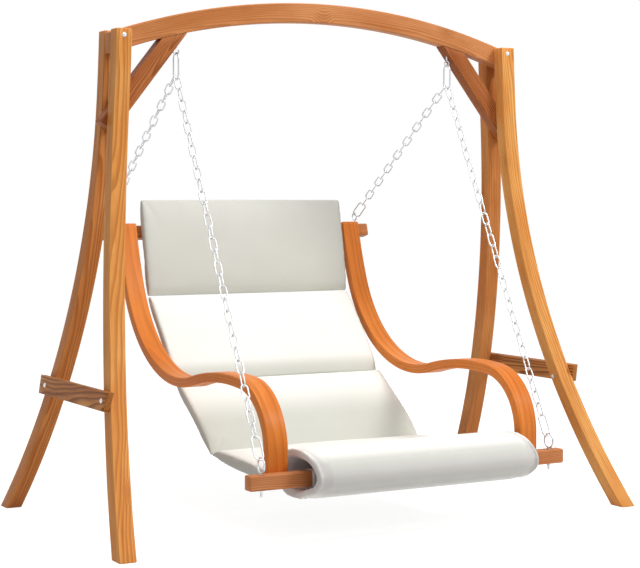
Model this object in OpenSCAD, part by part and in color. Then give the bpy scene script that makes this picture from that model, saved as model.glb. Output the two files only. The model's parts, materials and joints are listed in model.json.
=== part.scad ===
// Garden swing: a padded lounge seat hung on chains from an arched timber stand.
// X runs left to right, Y front to back, Z up; the origin lies on the floor
// under the middle of the whole swing. All lengths are in millimetres.

/* [Stand] */
// Height of the beam's crown above the floor
crown_h = 1923; // [1800:1:2000]
// Half the length of the top beam
beam_half = 855; // [820:1:900]
// Radius of the beam's arched top
beam_r = 2603; // [2300:1:3000]
// Depth of the beam from top to underside
beam_d = 72; // [64:1:84]
// Thickness of the beam and of the braces, front to back
beam_w = 56; // [48:1:66]
// Width of a leg, side to side
leg_w = 60; // [52:1:70]
// Thickness of a leg, front to back
leg_t = 57; // [48:1:66]
// How far a foot stands out sideways past the leg's top
leg_splay = 213; // [150:1:260]
// Bow of a leg seen from the front
leg_bow = 38; // [20:1:60]
// Length of the straight upper part of a leg
leg_straight = 246; // [200:1:320]
// Distance of a foot's outer edge from the stand's middle, front to back
foot_reach = 603; // [520:1:680]

/* [Braces] */
// Width of a brace across its slope
brace_w = 64; // [54:1:74]
// Slope of the braces from the horizontal
brace_angle = 51.5; // [48:0.5:55]
// Distance from the middle to where a brace's lower edge meets the beam
brace_x = 554; // [530:1:575]
// How far a brace's end stands out past the legs
brace_past = 25; // [10:1:40]

/* [Side rails] */
// Height of a side rail's middle above the floor
rail_z = 493; // [420:1:580]
// Height of a side rail board
rail_h = 70; // [56:1:86]
// Thickness of a side rail board
rail_t = 22; // [16:1:30]
// How far a rail runs on past the middle of each leg
rail_past = 54; // [46:1:80]
// Slant cut off the rail's front end
rail_cut = 24; // [0:1:30]

/* [Stand fasteners] */
// Diameter of the stand's bolts
bolt_d = 8; // [6:0.5:10]
// Diameter of the round bolt heads
head_d = 18; // [15:0.5:22]
// Height of the round bolt heads
head_h = 5; // [3:0.5:7]
// Depth of the leg bolts below the legs' tops
bolt_drop = 24; // [20:1:32]
// Diameter of the hexagon lag screws in the braces
lag_d = 8; // [6:0.5:10]
// How far a lag screw goes into its brace
lag_bite = 34; // [24:1:44]

/* [Hangers] */
// Distance of the hanging points from the middle
hang_x = 589; // [575:1:610]
// Depth of the ceiling eyes' centres below the beam's underside
eye_drop = 60; // [52:1:75]
// Mean radius of the ceiling eyes
eye_r = 11; // [10:0.5:14]
// Wire of the ceiling eyes and of the hanger links
hang_wire = 6; // [5:0.5:7]
// Length of a ceiling eye's screw above its ring
eye_screw_l = 88; // [75:1:100]
// Outer length of a hanger link
hanger_l = 104; // [90:1:125]
// Outer width of a hanger link
hanger_w = 50; // [44:0.2:54]

/* [Chains] */
// Wire of the chain links
chain_wire = 5.5; // [4.5:0.1:6]
// Outer width of a chain link
chain_w = 30; // [26:0.1:32]
// Wanted pitch of the chain links, adjusted a little to fill each run
chain_pitch = 46; // [40:0.5:52]
// Turn of the rear chains' links about their own line, the same way round on both sides
rear_turn = 45; // [40:1:50]
// Outer length of the connecting link at a chain's foot
end_l = 90; // [70:1:110]
// Outer width of the connecting link
end_w = 38; // [32:1:46]
// Wire of the connecting link
end_wire = 6; // [5:0.5:7]
// Play between two links that pull on each other
link_play = 0.3; // [0.2:0.1:0.6]
// Play of a turned chain's end links in the hanger link and in the eye
turn_play = 1; // [0.9:0.1:1.2]

/* [Seat eyes] */
// Mean radius of the eyes on the front bar
front_ring_r = 25.5; // [20:0.25:28]
// Mean radius of the eyes on the rear bar
rear_ring_r = 16.75; // [14:0.25:20]
// Wire of the eyes on the seat's bars
ring_wire = 6.5; // [5:0.5:7.5]
// Clear height under the wire of a front eye, above its bar
ring_gap = 2.25; // [1.5:0.25:8]
// Height of a rear eye's centre above its bar
rear_ring_up = 36; // [22:0.5:40]
// Height of the collar under an eye
eye_collar = 5; // [3:0.5:6]
// Diameter of an eye's threaded shank
shank_d = 8; // [6:0.5:10]
// Length of shank that stands out past the bar
shank_out = 24; // [16:1:32]
// Distance of the front eyes from the middle
front_eye_x = 593; // [580:1:615]
// Distance of the rear eyes from the middle
rear_eye_x = 576; // [572:1:610]

/* [Seat frame] */
// Distance of the front bar's middle in front of the hanging line
front_reach = 682.5; // [640:0.5:730]
// Height of the front bar's underside above the floor
bar_z = 216; // [190:1:320]
// Depth of the front and rear bars, front to back
bar_d = 45; // [38:1:54]
// Height of the front and rear bars
bar_h = 52; // [46:1:60]
// Half the length of the front bar
bar_half = 645; // [630:1:670]
// Half the length of the rear bar
rear_bar_half = 622; // [610:1:660]
// Clear width between the two arms
arm_gap = 956; // [930:1:970]
// Width of an arm
arm_w = 78; // [64:1:84]
// Thickness of an arm's bent band
arm_t = 36; // [28:1:44]
// Straight rise of an arm above the front bar
arm_rise = 58.6; // [40:0.2:80]
// Radius of an arm's front bend
arm_r1 = 239; // [200:1:280]
// Angle of an arm's front bend
arm_a1 = 84; // [78:0.5:88]
// Radius of the armrest's flat crest
arm_r2 = 1170; // [900:10:1500]
// Angle of the armrest's flat crest
arm_a2 = 20; // [16:0.5:24]
// Radius of an arm's rear bend
arm_r3 = 515; // [460:1:560]
// Angle of an arm's rear bend
arm_a3 = 81.5; // [78:0.5:84]
// Radius of an arm's upper end
arm_r4 = 1500; // [1200:10:2200]
// Angle of an arm's upper end
arm_a4 = 7.4; // [5:0.1:9]
// Straight top of an arm, which the rear bar lies against
arm_tip = 68; // [60:1:90]
// How far the rear bar's top lies below the arms' ends
rear_drop = 0; // [0:1:14]

/* [Pads] */
// Width of the padded seat
pad_w = 910; // [860:1:924]
// Swell of the pads behind their seams
pad_back = 42; // [32:1:50]
// Swell of the pads in front of their seams, at the sides
pad_side = 8; // [4:1:14]
// Swell of the pads in front of their seams, in the middle
pad_crown = 17; // [10:1:26]
// How far the sides are drawn in at the seams
pad_draw = 8; // [0:1:16]
// Space left at a seam between two pads
seam = 0.6; // [0.4:0.1:1]
// Length of the seat panel from the roll to the valley
seat_l = 478; // [430:1:520]
// Rise of the seat panel towards the back
seat_angle = 2.9; // [0:0.1:6]
// Depth of the back's middle seam behind a straight line
back_sag = 52; // [30:1:80]
// Height of the headrest above the rear bar's middle
head_up = 122; // [100:1:170]
// Depth of the headrest below the rear bar's middle
head_down = 269; // [220:1:290]
// Lean of the headrest against the rear bar
head_lean = 4.8; // [0:0.2:8]
// Space between the rear bar and the headrest's back
head_gap = 14; // [8:0.5:22]

/* [Front roll] */
// Depth of the roll, front to back
roll_d = 336; // [300:1:370]
// Height of the roll
roll_h = 174; // [160:1:200]
// Wall of the roll's padding
roll_wall = 37; // [28:0.5:42]
// How far the roll's middle lies behind the bar's middle
roll_back = 18; // [0:1:30]
// How far the roll's middle lies above the bar's middle
roll_up = 13; // [5:1:18]
// How far the roll's lower half hangs back
roll_sag = 30; // [10:1:40]

/* [Sleeves] */
// Thickness of the sleeves' cloth
sleeve_t = 2.5; // [1.5:0.5:3]
// How far a sleeve ends short of the pads' sides
sleeve_in = 45; // [30:1:80]

/* [Hidden] */
fit = 0.2;
soft = 0.3;
$fn = 48;
big_fn = 720;

beam_cz = crown_h - beam_r;
beam_ri = beam_r - beam_d;
leg_h = beam_cz + sqrt(pow(beam_r, 2) - pow(beam_half - leg_w / 2, 2));
leg_out = beam_w / 2 + leg_t;

// The leg's curve seen from the side: straight above knee_z, an arc below it
knee_z = leg_h - leg_straight;
kick = foot_reach - leg_out;
side_r = (pow(knee_z, 2) + pow(kick, 2)) / (2 * kick);
side_cy = leg_out + side_r;
function leg_y(z) = z > knee_z ? leg_out : side_cy - sqrt(pow(side_r, 2) - pow(knee_z - z, 2));

// The leg's curve seen from the front: one arc whose centre lies outside the leg
chord = sqrt(pow(leg_splay, 2) + pow(leg_h, 2));
front_r = pow(chord, 2) / (8 * leg_bow) + leg_bow / 2;
front_cx = beam_half + leg_splay / 2 + (front_r - leg_bow) * leg_h / chord;
front_cz = leg_h / 2 + (front_r - leg_bow) * leg_splay / chord;
function leg_x(z) = front_cx - sqrt(pow(front_r, 2) - pow(front_cz - z, 2));
function leg_in_x(z) = front_cx - sqrt(pow(front_r + leg_w, 2) - pow(front_cz - z, 2));
function leg_lean(z) = asin((front_cz - z) / front_r);

// The brace's end corner lies brace_past outside the leg's outer face
brace_z = beam_cz + sqrt(pow(beam_ri, 2) - pow(brace_x, 2));
brace_cx = brace_x + brace_w * sin(brace_angle);
brace_cz = brace_z + brace_w * cos(brace_angle);
function brace_run(t, n) = n == 0 ? t
  : brace_run((leg_x(brace_cz - t * sin(brace_angle)) + brace_past - brace_cx) / cos(brace_angle), n - 1);
brace_l = brace_run(450, 8);
function brace_mid(x) = brace_z - (x - brace_x) * tan(brace_angle) + brace_w / 2 / cos(brace_angle);

bolt_x = beam_half - leg_w / 2;
bolt_z = leg_h - bolt_drop;
nut_h = bolt_d * 0.8;
nut_af = bolt_d * 1.625;
washer_h = 1.6;
washer_d = bolt_d * 2.2;

lag_x = leg_x(brace_mid(beam_half - 20)) - leg_w / 2;
lag_z = brace_mid(lag_x);
lag_seat = leg_y(lag_z) - 1.5;
lag_head_d = lag_d * 1.85;

rail_y = leg_y(rail_z) - leg_t / 2 / cos(asin((knee_z - rail_z) / side_r));
rail_half = rail_y + rail_past;
rail_lean = leg_lean(rail_z);
rail_gap = 0.3;

beam_under = beam_cz + sqrt(pow(beam_ri, 2) - pow(hang_x, 2));
eye_z = beam_under - eye_drop;
eye_pin_z = eye_z - eye_r;
hanger_r = (hanger_w - hang_wire) / 2;
hanger_top = eye_pin_z + hang_wire + link_play;
pivot_z = hanger_top - (hanger_l - hang_wire) + hanger_r;

// The arm's outer face as a path from the front bar: [y, z, heading] at each bend
front_y = -front_reach;
bar_top = bar_z + bar_h;
front_z = bar_z + bar_h / 2;
arm_y0 = front_y + bar_d / 2;
function step(p, r, a) = [
  p[0] + r * (sign(a) * (sin(p[2] + a) - sin(p[2]))),
  p[1] - r * (sign(a) * (cos(p[2] + a) - cos(p[2]))),
  p[2] + a];
arm_p0 = [arm_y0, bar_top + arm_rise, 90];
arm_p1 = step(arm_p0, arm_r1, -arm_a1);
arm_p2 = step(arm_p1, arm_r2, -arm_a2);
arm_p3 = step(arm_p2, arm_r3, arm_a3);
arm_p4 = step(arm_p3, arm_r4, arm_a4);
arm_p5 = [arm_p4[0] + arm_tip * cos(arm_p4[2]), arm_p4[1] + arm_tip * sin(arm_p4[2]), arm_p4[2]];
arm_x = arm_gap / 2;

// The rear bar lies behind the arms' upper ends and leans with them
tilt = arm_p5[2];
rear_off = arm_t + bar_d / 2;
rear_y = arm_p5[0] + rear_off * sin(tilt) - (rear_drop + bar_h / 2) * cos(tilt);
rear_z = arm_p5[1] - rear_off * cos(tilt) - (rear_drop + bar_h / 2) * sin(tilt);

ring_up = front_ring_r + ring_wire / 2 + ring_gap;
ring_f = [front_eye_x, front_y, bar_top + ring_up];
ring_b = [rear_eye_x,
  rear_y + (bar_h / 2 + rear_ring_up) * cos(tilt),
  rear_z + (bar_h / 2 + rear_ring_up) * sin(tilt)];
pivot = [hang_x, 0, pivot_z];

// Roll and pads, as points [y, z]
roll_y = front_y + roll_back;
roll_z = front_z + roll_up;
half_w = pad_w / 2;
head_dir = tilt + head_lean;
bar_face = [rear_y - bar_d / 2 * sin(tilt), rear_z + bar_d / 2 * cos(tilt)];
head_back = [bar_face[0] - head_gap * sin(tilt), bar_face[1] + head_gap * cos(tilt)];
head_mid = [head_back[0] - pad_back * sin(head_dir), head_back[1] + pad_back * cos(head_dir)];
s0 = [head_mid[0] + head_up * cos(head_dir), head_mid[1] + head_up * sin(head_dir)];
s1 = [head_mid[0] - head_down * cos(head_dir), head_mid[1] - head_down * sin(head_dir)];
s4 = [roll_y + roll_d / 2 + soft, roll_z - roll_h * 0.15];
s3 = [s4[0] + seat_l * cos(seat_angle), s4[1] + seat_l * sin(seat_angle)];
back_l = norm(s1 - s3);
s2 = (s1 + s3) / 2 + back_sag / back_l * [s1[1] - s3[1], s3[0] - s1[0]];

// The whole swing is moved so that the origin is in its middle, front to back
roll_front = roll_d / 2 - roll_y;
bar_rear = rear_y + bar_d / 2 * sin(tilt) + bar_h / 2 * cos(tilt);
swing_y = (roll_front - bar_rear) / 2;

// ---- placing ----

module place() { translate([0, swing_y, 0]) children(); }

module side(s) { mirror([s < 0 ? 1 : 0, 0, 0]) children(); }

module both_sides() {
  children();
  mirror([1, 0, 0]) children();
}

// Draws in the Y-Z plane: local x becomes Y, local y becomes Z, local z becomes X
module yz() { rotate([90, 0, 90]) children(); }

// Draws in the X-Z plane: local y becomes Z, local z becomes -Y
module xz() { rotate([90, 0, 0]) children(); }

module rear_frame(x) {
  translate([x, rear_y, rear_z]) rotate([tilt - 90, 0, 0]) children();
}

module front_frame(x) { translate([x, front_y, front_z]) children(); }

module rail_frame(y) {
  translate([leg_x(rail_z), y, rail_z]) rotate([0, -rail_lean, 0]) children();
}

// ---- stand ----

// A leg's outline from the side, in front of the middle plane
module leg_side_outline() {
  translate([beam_w / 2, knee_z]) square([leg_t, leg_h - knee_z]);
  intersection() {
    translate([side_cy, knee_z]) difference() {
      circle(r = side_r + leg_t, $fn = big_fn);
      circle(r = side_r, $fn = big_fn);
    }
    square([side_cy, knee_z]);
  }
}

// A leg's outline from the front: two concentric arcs of very large radius,
// each drawn as bow_n straight steps
bow_n = 16;
module leg_front_outline() {
  polygon(concat(
    [for (i = [0 : bow_n]) [leg_x(leg_h * i / bow_n), leg_h * i / bow_n]],
    [for (i = [bow_n : -1 : 0]) [leg_in_x(leg_h * i / bow_n), leg_h * i / bow_n]]));
}

module leg_bolt_hole() {
  translate([bolt_x, 0, bolt_z])
    rotate([90, 0, 0]) cylinder(d = bolt_d + 2 * fit, h = 4 * leg_out, center = true);
}

module rail_bolt_hole() {
  rail_frame(rail_y) translate([rail_t + 5, 0, 0])
    rotate([0, -90, 0]) cylinder(d = bolt_d + 2 * fit, h = leg_w + rail_t + 20);
}

// A right-hand leg that reaches towards +Y
module leg(lag) {
  difference() {
    intersection() {
      yz() linear_extrude(height = beam_half + leg_splay + leg_w) leg_side_outline();
      translate([0, foot_reach + leg_t, 0])
        xz() linear_extrude(height = foot_reach + leg_t) leg_front_outline();
    }
    leg_bolt_hole();
    rail_bolt_hole();
    if (lag) {
      translate([lag_x, 0, lag_z]) rotate([-90, 0, 0])
        cylinder(d = lag_d + 2 * fit, h = 2 * leg_out);
      translate([lag_x, lag_seat, lag_z]) rotate([-90, 0, 0])
        cylinder(d = lag_head_d * 1.3, h = leg_t);
    }
  }
}

module front_left_leg() { color("peru") place() side(-1) mirror([0, 1, 0]) leg(false); }
module front_right_leg() { color("peru") place() mirror([0, 1, 0]) leg(false); }
module rear_left_leg() { color("sienna") place() side(-1) leg(true); }
module rear_right_leg() { color("sienna") place() leg(true); }

module eye_screw_hole() {
  translate([hang_x, 0, eye_z])
    cylinder(d = bolt_d + 2 * fit, h = eye_r + eye_screw_l + 1);
}

module top_beam() {
  color("peru") place() difference() {
    translate([0, beam_w / 2, 0]) xz() linear_extrude(height = beam_w) intersection() {
      translate([0, beam_cz]) difference() {
        circle(r = beam_r, $fn = big_fn);
        circle(r = beam_ri, $fn = big_fn);
      }
      translate([-beam_half, crown_h - beam_r / 2]) square([2 * beam_half, beam_r]);
    }
    both_sides() leg_bolt_hole();
    both_sides() eye_screw_hole();
  }
}

// A right-hand brace, cut to the beam's underside
module brace() {
  difference() {
    translate([0, beam_w / 2, 0]) xz() linear_extrude(height = beam_w) intersection() {
      translate([brace_x, brace_z]) rotate([0, 0, -brace_angle])
        translate([-brace_w, 0]) square([brace_l + brace_w, brace_w]);
      translate([0, beam_cz]) circle(r = beam_ri, $fn = big_fn);
    }
    eye_screw_hole();
    translate([lag_x, 0, lag_z]) rotate([-90, 0, 0])
      translate([0, 0, beam_w / 2 - lag_bite - 1]) cylinder(d = lag_d + 2 * fit, h = lag_bite + 2);
  }
}

module left_brace() { color("sienna") place() side(-1) brace(); }
module right_brace() { color("sienna") place() brace(); }

// A right-hand side rail on the legs' outer faces
module side_rail() {
  difference() {
    rail_frame(0) translate([rail_gap, 0, 0]) yz() linear_extrude(height = rail_t) polygon([
      [-rail_half, rail_h / 2],
      [-rail_half + rail_cut, -rail_h / 2],
      [rail_half, -rail_h / 2],
      [rail_half, rail_h / 2]]);
    rail_bolt_hole();
    mirror([0, 1, 0]) rail_bolt_hole();
  }
}

module left_side_rail() { color("chocolate") place() side(-1) side_rail(); }
module right_side_rail() { color("chocolate") place() side_rail(); }

// ---- fasteners of the stand ----

// A round-headed bolt along local +z, its head's seat at z = 0
module round_bolt(l) {
  cylinder(d = bolt_d, h = l);
  dome_r = (pow(head_d / 2, 2) + pow(head_h, 2)) / (2 * head_h);
  intersection() {
    translate([0, 0, dome_r - head_h]) sphere(r = dome_r, $fn = 64);
    translate([0, 0, -head_h]) cylinder(d = head_d, h = head_h);
  }
}

module nut(d, af, h) {
  difference() {
    cylinder(d = af / cos(30), h = h, $fn = 6);
    translate([0, 0, -1]) cylinder(d = d + 0.1, h = h + 2);
  }
}

module washer(d, od, h) {
  difference() {
    cylinder(d = od, h = h);
    translate([0, 0, -1]) cylinder(d = d + 0.4, h = h + 2);
  }
}

leg_bolt_l = 2 * leg_out + washer_h + nut_h + 4;

module leg_bolts() {
  color("silver") place() both_sides()
    translate([bolt_x, -leg_out, bolt_z]) rotate([-90, 0, 0]) round_bolt(leg_bolt_l);
}

module leg_bolt_washers() {
  color("silver") place() both_sides()
    translate([bolt_x, leg_out, bolt_z]) rotate([-90, 0, 0]) washer(bolt_d, washer_d, washer_h);
}

module leg_bolt_nuts() {
  color("silver") place() both_sides()
    translate([bolt_x, leg_out + washer_h, bolt_z]) rotate([-90, 0, 0]) nut(bolt_d, nut_af, nut_h);
}

module brace_screws() {
  color("silver") place() both_sides()
    translate([lag_x, lag_seat, lag_z]) rotate([90, 0, 0]) {
      cylinder(d = lag_d, h = lag_seat - beam_w / 2 + lag_bite);
      mirror([0, 0, 1]) cylinder(d = lag_head_d, h = lag_d * 0.7, $fn = 6);
    }
}

module rail_bolt() {
  rail_frame(rail_y) translate([rail_gap + rail_t, 0, 0])
    rotate([0, -90, 0]) round_bolt(rail_gap + rail_t + leg_w + nut_h + 4);
}

module rail_nut() {
  rail_frame(rail_y) translate([-leg_w, 0, 0]) rotate([0, -90, 0]) nut(bolt_d, nut_af, nut_h);
}

module rail_bolts() {
  color("silver") place() both_sides() {
    rail_bolt();
    mirror([0, 1, 0]) rail_bolt();
  }
}

module rail_nuts() {
  color("silver") place() both_sides() {
    rail_nut();
    mirror([0, 1, 0]) rail_nut();
  }
}

// ---- eyes, links and chains ----

// A ceiling eye: ring in the X-Z plane, screw upwards
module ceiling_eye() {
  translate([hang_x, 0, eye_z]) {
    rotate([90, 0, 0]) rotate_extrude() translate([eye_r, 0]) circle(d = hang_wire, $fn = 24);
    translate([0, 0, eye_r]) cylinder(d = bolt_d, h = eye_screw_l);
  }
}

module left_eye_screw() { color("silver") place() side(-1) ceiling_eye(); }
module right_eye_screw() { color("silver") place() ceiling_eye(); }

// Half a ring of wire in the local x-z plane, bulging to +z
module half_ring(r, wire) {
  rotate([90, 0, 0]) rotate_extrude(angle = 180) translate([r, 0]) circle(d = wire, $fn = 24);
}

// A long link in the local x-z plane; l and r are measured to the wire's middle,
// and the near wire's middle is at the local origin
module link(l, r, wire) {
  translate([0, 0, l - r]) half_ring(r, wire);
  translate([0, 0, r]) mirror([0, 0, 1]) half_ring(r, wire);
  for (s = [-1, 1]) translate([s * r, 0, r]) cylinder(d = wire, h = l - 2 * r, $fn = 24);
}

module hanger_link() {
  translate([hang_x, 0, hanger_top]) rotate([180, 0, 90])
    link(hanger_l - hang_wire, hanger_r, hang_wire);
}

module left_hanger_link() { color("gainsboro") place() side(-1) hanger_link(); }
module right_hanger_link() { color("gainsboro") place() hanger_link(); }

// Along a chain's line, measured from the pivot: first wire, ring wire, and the
// small links' exact pitch. Links in line with the x-z plane need an even number
// of them, so that the connecting link hangs square in its eye
function play(q) = q[1] < 0 ? link_play : turn_play;
function chain_start(q) = hanger_r - (hang_wire + chain_wire) / 2 - play(q);
end_step = end_l - end_wire - (chain_wire + end_wire) / 2 - link_play;
function eye_at(q) = q[1] < 0 ? front_ring_r : rear_ring_r;
function end_far(q) = norm(q - pivot) - eye_at(q) + (end_wire + ring_wire) / 2 + play(q);
function small_run(q) = end_far(q) - end_step - chain_start(q) - chain_wire - link_play;
function links(q) = q[1] < 0 ? 2 * round(small_run(q) / chain_pitch / 2)
  : round(small_run(q) / chain_pitch);
function pitch(q) = small_run(q) / links(q);
function turn(q) = q[1] < 0 ? 0 : rear_turn;

// Turns local +z from the pivot towards the point q
module along(q) {
  d = (q - pivot) / norm(q - pivot);
  translate(pivot) rotate([atan2(-d[1], d[2]), 0, 0]) rotate([0, asin(d[0]), 0]) children();
}

module chain(q, way = 1) {
  p = pitch(q);
  along(q) for (i = [0 : links(q) - 1])
    translate([0, 0, chain_start(q) + i * p]) rotate([0, 0, way * turn(q) + i % 2 * 90])
      link(p + chain_wire + link_play, (chain_w - chain_wire) / 2, chain_wire);
}

module connecting_link(q, way = 1) {
  along(q) translate([0, 0, end_far(q) - end_l + end_wire])
    rotate([0, 0, way * turn(q) + links(q) % 2 * 90])
      link(end_l - end_wire, (end_w - end_wire) / 2, end_wire);
}

module front_left_chain() { color("silver") place() side(-1) chain(ring_f); }
module front_right_chain() { color("silver") place() chain(ring_f); }
module rear_left_chain() { color("silver") place() side(-1) chain(ring_b); }
module rear_right_chain() { color("silver") place() chain(ring_b, -1); }
module front_connecting_links() { color("gainsboro") place() both_sides() connecting_link(ring_f); }
module rear_connecting_links() {
  color("gainsboro") place() {
    side(-1) connecting_link(ring_b);
    connecting_link(ring_b, -1);
  }
}

// An eye bolt whose collar sits on a bar's top; the local origin is the bar's middle
module bar_eye(up, r) {
  translate([0, 0, bar_h / 2 + up]) rotate([0, 90, 0])
    rotate_extrude() translate([r, 0]) circle(d = ring_wire, $fn = 24);
  translate([0, 0, bar_h / 2]) cylinder(d = shank_d * 1.7, h = eye_collar);
  translate([0, 0, -bar_h / 2 - shank_out])
    cylinder(d = shank_d, h = bar_h + shank_out + up - r);
}

module bar_hole() {
  cylinder(d = shank_d + 2 * fit, h = bar_h + 2, center = true);
}

module front_seat_eyes() {
  color("silver") place() both_sides() front_frame(front_eye_x) bar_eye(ring_up, front_ring_r);
}
module rear_seat_eyes() {
  color("silver") place() both_sides() rear_frame(rear_eye_x) bar_eye(rear_ring_up, rear_ring_r);
}

module seat_eye_washers() {
  color("silver") place() both_sides() {
    front_frame(front_eye_x) translate([0, 0, -bar_h / 2 - washer_h])
      washer(shank_d, shank_d * 2.2, washer_h);
    rear_frame(rear_eye_x) translate([0, 0, -bar_h / 2 - washer_h])
      washer(shank_d, shank_d * 2.2, washer_h);
  }
}

module seat_eye_nuts() {
  low = -bar_h / 2 - washer_h - shank_d * 0.8;
  color("silver") place() both_sides() {
    front_frame(front_eye_x) translate([0, 0, low])
      nut(shank_d, shank_d * 1.625, shank_d * 0.8);
    rear_frame(rear_eye_x) translate([0, 0, low])
      nut(shank_d, shank_d * 1.625, shank_d * 0.8);
  }
}

// ---- seat frame ----

screw_d = 6;
screw_head = 12;
screw_bite = bar_d - 12;
screw_cone = (screw_head - screw_d) / 2;
arm_mid = arm_x + arm_w / 2;
screw_step = bar_h / 4;

// A countersunk screw along local +z, its flat head's face at z = 0
module wood_screw(l) {
  cylinder(d = screw_d, h = l);
  cylinder(d1 = screw_head, d2 = screw_d, h = screw_cone);
}

module screw_hole(l) {
  cylinder(d = screw_d + 2 * fit, h = l + 1);
  cylinder(d1 = screw_head + 2 * fit, d2 = screw_d + 2 * fit, h = screw_cone);
  translate([0, 0, -1]) cylinder(d = screw_head + 2 * fit, h = 1);
}

// The two screws from behind an arm's foot into the front bar
module at_front_screws() {
  for (s = [-1, 1]) front_frame(arm_mid)
    translate([0, bar_d / 2 + arm_t, s * screw_step]) rotate([90, 0, 0]) children();
}

// The two screws from behind the rear bar into an arm's upper end
module at_rear_screws() {
  for (s = [-1, 1]) rear_frame(arm_mid)
    translate([0, bar_d / 2, s * screw_step]) rotate([90, 0, 0]) children();
}

rear_screw_l = bar_d + arm_t - 8;
front_screw_l = arm_t + screw_bite;

module front_bar() {
  color("saddlebrown") place() difference() {
    front_frame(0) cube([2 * bar_half, bar_d, bar_h], center = true);
    both_sides() front_frame(front_eye_x) bar_hole();
    both_sides() at_front_screws() screw_hole(front_screw_l);
  }
}

module rear_bar() {
  color("saddlebrown") place() difference() {
    rear_frame(0) cube([2 * rear_bar_half, bar_d, bar_h], center = true);
    both_sides() rear_frame(rear_eye_x) bar_hole();
    both_sides() at_rear_screws() screw_hole(rear_screw_l);
  }
}

// A bend's path in equal steps of about 2 degrees, without its first point
function bend(p, r, a) =
  let (n = ceil(abs(a) / 2))
  [for (i = [1 : n]) step(p, r, a * i / n)];

arm_path = concat([[arm_y0, bar_z, 90], arm_p0], bend(arm_p0, arm_r1, -arm_a1),
  bend(arm_p1, arm_r2, -arm_a2), bend(arm_p2, arm_r3, arm_a3),
  bend(arm_p3, arm_r4, arm_a4), [arm_p5]);

// An arm's outline: the path and its offset to the underside
module arm_outline() {
  m = len(arm_path);
  polygon(concat(
    [for (p = arm_path) [p[0], p[1]]],
    [for (i = [m - 1 : -1 : 0]) let (p = arm_path[i])
      [p[0] + arm_t * sin(p[2]), p[1] - arm_t * cos(p[2])]]));
}

// A right-hand arm
module arm() {
  difference() {
    translate([arm_x, 0, 0]) yz() linear_extrude(height = arm_w) arm_outline();
    at_front_screws() screw_hole(front_screw_l);
    at_rear_screws() screw_hole(rear_screw_l);
  }
}

module left_arm() { color("orange") place() side(-1) arm(); }
module right_arm() { color("orange") place() arm(); }
module front_arm_screws() { color("silver") place() both_sides() at_front_screws() wood_screw(front_screw_l); }
module rear_arm_screws() { color("silver") place() both_sides() at_rear_screws() wood_screw(rear_screw_l); }

// ---- pads ----

pad_n = 14;
pad_x = [1, 0.995, 0.985, 0.96, 0.85, 0.6, 0.3];
edge_x = [0.78, 0.9, 0.975, 1, 1, 1, 1];
stations = concat(
  [for (i = [0 : 6]) [-pad_x[i], edge_x[i]]],
  [[0, 1]],
  [for (i = [6 : -1 : 0]) [pad_x[i], edge_x[i]]]);

// Swell across a panel, 0 at its seams and 1 in its middle
function swell(s, p) = pow(max(0, 1 - pow(abs(2 * s - 1), p)), 1 / p);
function share(i) = (1 - cos(180 * i / pad_n)) / 2;

// One point of a panel from seam point a to seam point b, at station [x, e];
// k counts round the section: up the front, then down the back
function pad_point(a, b, st, k) =
  let (front = k <= pad_n,
    s = share(front ? k : 2 * pad_n - k),
    l = norm(b - a),
    d = (b - a) / l,
    f = [-d[1], d[0]],
    crown = pad_side + (pad_crown - pad_side) * (1 - pow(st[0], 2)),
    off = st[1] * (front ? crown * swell(s, 2) : -pad_back * swell(s, 3)),
    c = a + d * (seam / 2 + s * (l - seam)) + f * off)
  [st[0] * (half_w - pad_draw * (1 - swell(s, 3))), c[0], c[1]];

function rings_faces(m, n) = [
  for (j = [0 : n - 2], i = [0 : m - 1], t = [0, 1])
    let (a = j * m + i, b = j * m + (i + 1) % m, c = b + m, d = a + m)
    t == 0 ? [a, c, b] : [a, d, c]];

// Closes the first ring (flip = false) or the last one of a pad
function cap_faces(o, flip) = [
  for (i = [0 : pad_n - 1], t = [0, 1])
    let (m = 2 * pad_n, q = [o + i, o + i + 1, o + m - i - 1], r = [o + i, o + m - i - 1, o + (m - i) % m])
    if (t == 0 ? i < pad_n - 1 : i > 0)
      t == 0 ? (flip ? [q[2], q[1], q[0]] : q) : (flip ? [r[2], r[1], r[0]] : r)];

// A padded panel between seam points a (below) and b (above)
module pad(a, b) {
  m = 2 * pad_n;
  n = len(stations);
  pts = [for (st = stations, k = [0 : m - 1]) pad_point(a, b, st, k)];
  polyhedron(points = pts, faces = concat(rings_faces(m, n), cap_faces(0, false),
    cap_faces((n - 1) * m, true)), convexity = 4);
}

module headrest_pad() { color("lightgray") place() pad(s1, s0); }
module upper_back_pad() { color("ivory") place() pad(s2, s1); }
module lower_back_pad() { color("ivory") place() pad(s3, s2); }
module seat_pad() { color("ivory") place() pad(s4, s3); }

// The roll's outline, drawn in by o: a full oval above, and a lower half that
// hangs back and is squarer behind
roll_n = 40;
function roll_point(t, o) =
  let (a = roll_d / 2 - o, b = roll_h / 2 - o, low = sin(t) < 0, p = low && cos(t) > 0 ? 2.5 : 2,
    y = a * sign(cos(t)) * pow(abs(cos(t)), 2 / p),
    z = b * sign(sin(t)) * pow(abs(sin(t)), 2 / p))
  [roll_y + y + (low ? roll_sag * pow(sin(t), 2) * (1 - max(0, cos(t))) : 0), roll_z + z];

// Sections along the roll: [x, how much of the wall is full]
roll_st = [[-1, 0.5], [-0.996, 0.74], [-0.988, 0.9], [-0.97, 1], [-0.5, 1], [0, 1],
  [0.5, 1], [0.97, 1], [0.988, 0.9], [0.996, 0.74], [1, 0.5]];

function roll_ring(o_full, st) =
  let (mid = roll_wall / 2, o = mid + (o_full - mid) * st[1])
  [for (i = [0 : roll_n - 1]) let (c = roll_point(360 * i / roll_n, o))
    [st[0] * half_w, c[0], c[1]]];

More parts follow.
